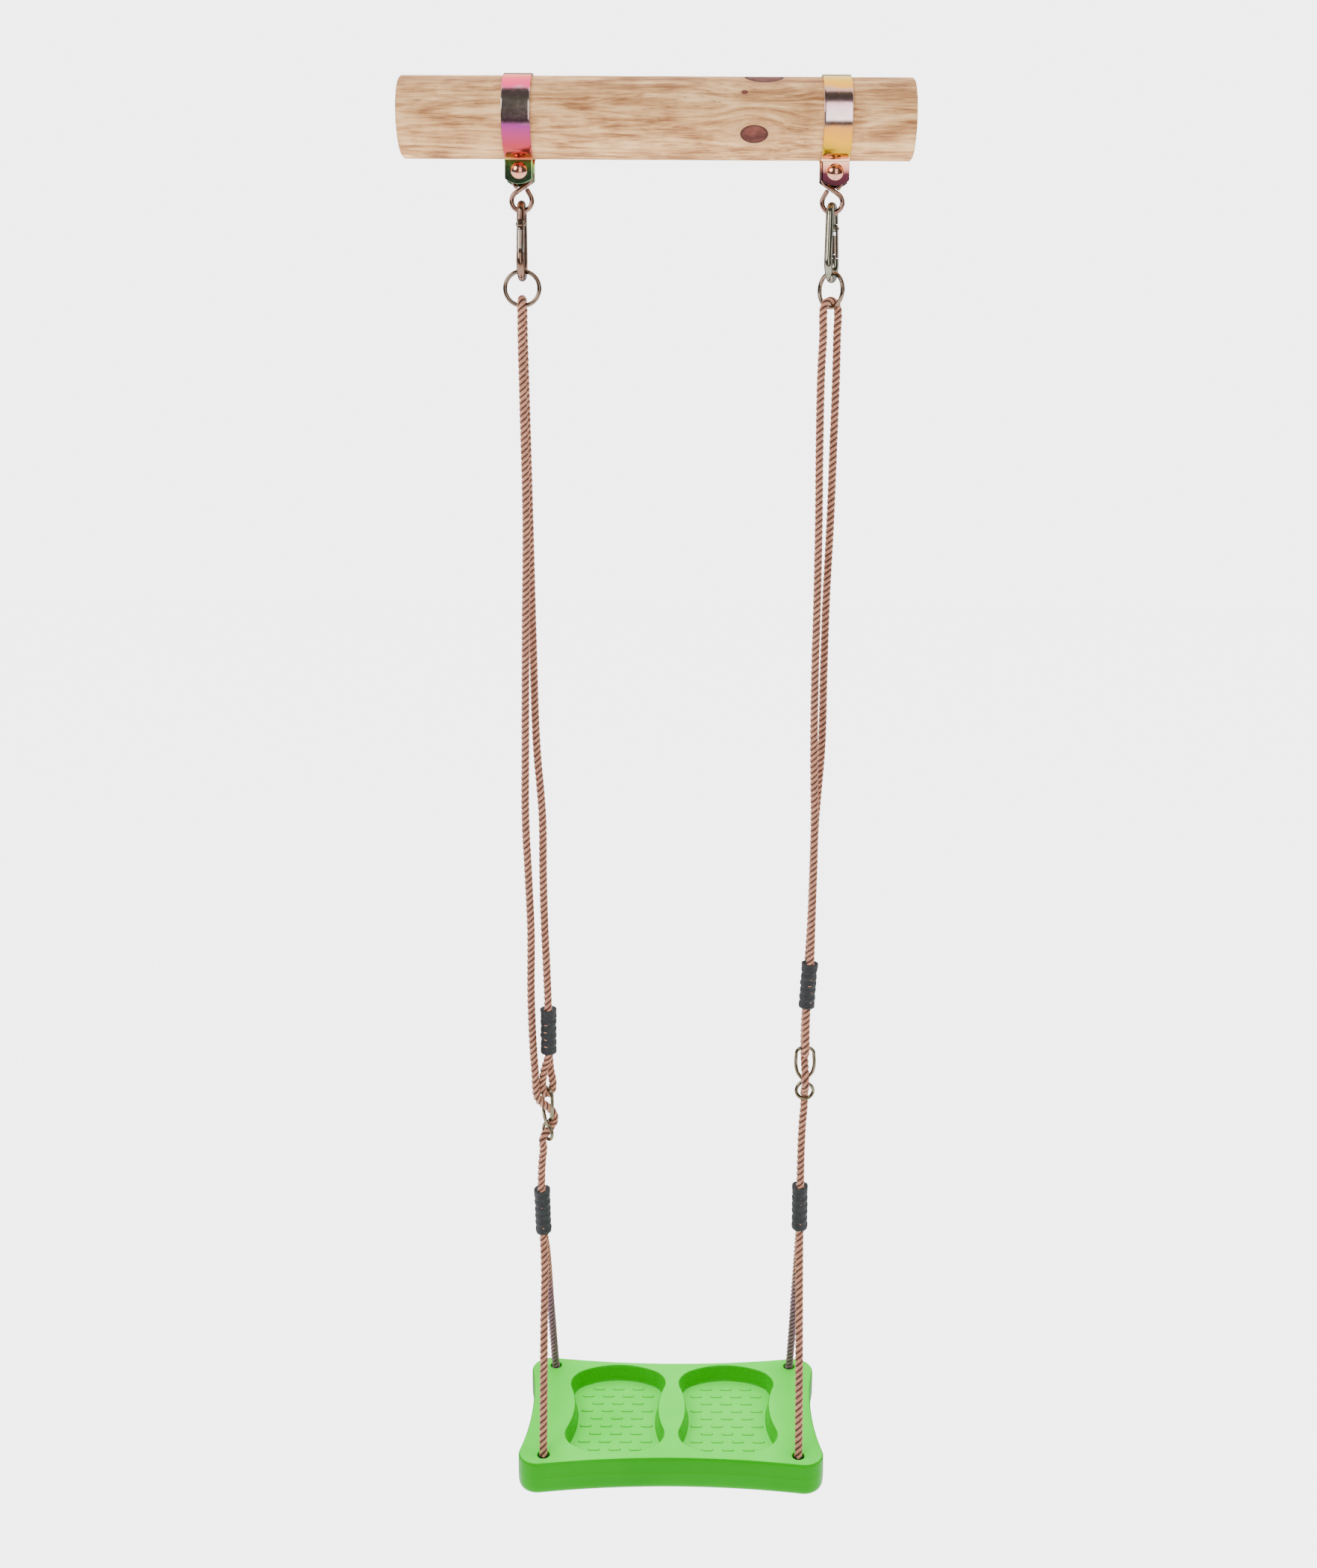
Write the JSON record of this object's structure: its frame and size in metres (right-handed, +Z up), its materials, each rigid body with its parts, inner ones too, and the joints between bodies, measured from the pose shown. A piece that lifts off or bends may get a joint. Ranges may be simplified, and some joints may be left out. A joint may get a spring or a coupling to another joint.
{
  "type": "standing swing",
  "caption": "Stand-on swing: a moulded footboard with foot wells, hung by height-adjustable ropes, rings and carabiners from clamps on a round beam.",
  "frame": {"origin": "on the axis of the round beam, midway between its two clamps, where the swing hangs", "axes": "+Z up, +Y away from the user who stands in front, +X along the beam to that user's right"},
  "size_m": [0.634, 0.2338, 1.801],
  "materials": {
    "beam_wood": "planed and rounded pine, unvarnished, with knots",
    "clamp_left": "iridescent yellow-passivated zinc, pink and green tints",
    "clamp_right": "iridescent yellow-passivated zinc, gold and violet tints",
    "fastener": "yellow-passivated zinc",
    "hook_wire": "passivated zinc, faintly pink",
    "carabiner_left": "zinc plated, warm grey",
    "carabiner_right": "zinc plated, grey green",
    "gate_steel": "zinc plated",
    "spring_steel": "bare spring wire",
    "ring_steel": "zinc plated, bright",
    "rope": "braided synthetic hemp, tan with dark creases",
    "adjuster_steel": "nickel plated wire",
    "sleeve": "matt charcoal, crimped",
    "board_plastic": "glossy lime green blow moulding"
  },
  "bodies": {
    "beam_and_clamps": {"beam": "beam_wood", "clamp_strap_left": "clamp_left", "clamp_strap_right": "clamp_right", "carriage_bolt_left": "fastener", "carriage_bolt_right": "fastener", "washer_left": "fastener", "washer_right": "fastener", "lock_nut_left": "fastener", "lock_nut_right": "fastener"},
    "hook_left": {"s_hook_left": "hook_wire"},
    "hook_right": {"s_hook_right": "hook_wire"},
    "carabiner_left": {"carabiner_left": "carabiner_left", "gate_rivet_left": "gate_steel"},
    "carabiner_right": {"carabiner_right": "carabiner_right", "gate_rivet_right": "gate_steel"},
    "gate_left": {"gate_left": "gate_steel", "gate_spring_left": "spring_steel"},
    "gate_right": {"gate_right": "gate_steel", "gate_spring_right": "spring_steel"},
    "rope_left": {"ring_left": "ring_steel", "rope_left": "rope", "rope_tail_left": "rope", "height_adjuster_left": "adjuster_steel", "upper_sleeve_left": "sleeve", "lower_sleeve_left": "sleeve"},
    "rope_right": {"ring_right": "ring_steel", "rope_right": "rope", "rope_tail_right": "rope", "height_adjuster_right": "adjuster_steel", "upper_sleeve_right": "sleeve", "lower_sleeve_right": "sleeve"},
    "footboard": {"footboard": "board_plastic", "rope_underrun_left": "rope", "rope_underrun_right": "rope"}
  },
  "joints": [
    {"name": "swing", "type": "hinge", "parent": "beam_and_clamps", "child": "carabiner_left", "pos_m": [-0.194, 0, -0.11405], "axis": [1, 0, 0], "range_deg": [-60, 60]},
    {"name": "swing_right", "type": "hinge", "parent": "beam_and_clamps", "child": "carabiner_right", "pos_m": [0.194, 0, -0.11405], "axis": [1, 0, 0], "range_deg": [-61, 61]},
    {"name": "sway", "type": "hinge", "parent": "carabiner_left", "child": "rope_left", "pos_m": [-0.194, 0, -0.19555], "axis": [0, 1, 0], "range_deg": [-8, 8]},
    {"name": "sway_right", "type": "hinge", "parent": "carabiner_right", "child": "rope_right", "pos_m": [0.194, 0, -0.19555], "axis": [0, 1, 0], "range_deg": [-9, 9]},
    {"name": "footboard_level", "type": "hinge", "parent": "rope_left", "child": "footboard", "pos_m": [-0.165, 0, -1.708], "axis": [0, 1, 0], "range_deg": [-10, 10]},
    {"name": "hook_lean_left", "type": "hinge", "parent": "beam_and_clamps", "child": "hook_left", "pos_m": [-0.196, 0, -0.066], "axis": [0, 1, 0], "range_deg": [-1.2, 1.2]},
    {"name": "hook_lean_right", "type": "hinge", "parent": "beam_and_clamps", "child": "hook_right", "pos_m": [0.196, 0, -0.066], "axis": [0, 1, 0], "range_deg": [-1.2, 1.2]},
    {"name": "gate_left", "type": "hinge", "parent": "carabiner_left", "child": "gate_left", "pos_m": [-0.194, -0.01474, -0.13184], "axis": [1, 0, 0], "range_deg": [0, 22], "stiffness_Nm_per_rad": 0.12, "springref_deg": -22.92},
    {"name": "gate_right", "type": "hinge", "parent": "carabiner_right", "child": "gate_right", "pos_m": [0.19831, 0.0141, -0.13184], "axis": [-0.9563, 0.2924, 0], "range_deg": [0, 22], "stiffness_Nm_per_rad": 0.12, "springref_deg": -22.92}
  ],
  "couplings": [
    {"joint": "swing_right", "follows": "swing", "ratio": 1},
    {"joint": "sway_right", "follows": "sway", "ratio": 1},
    {"joint": "footboard_level", "follows": "sway", "ratio": -1.175},
    {"joint": "hook_lean_left", "follows": "sway", "ratio": 0.12},
    {"joint": "hook_lean_right", "follows": "sway", "ratio": 0.12}
  ]
}
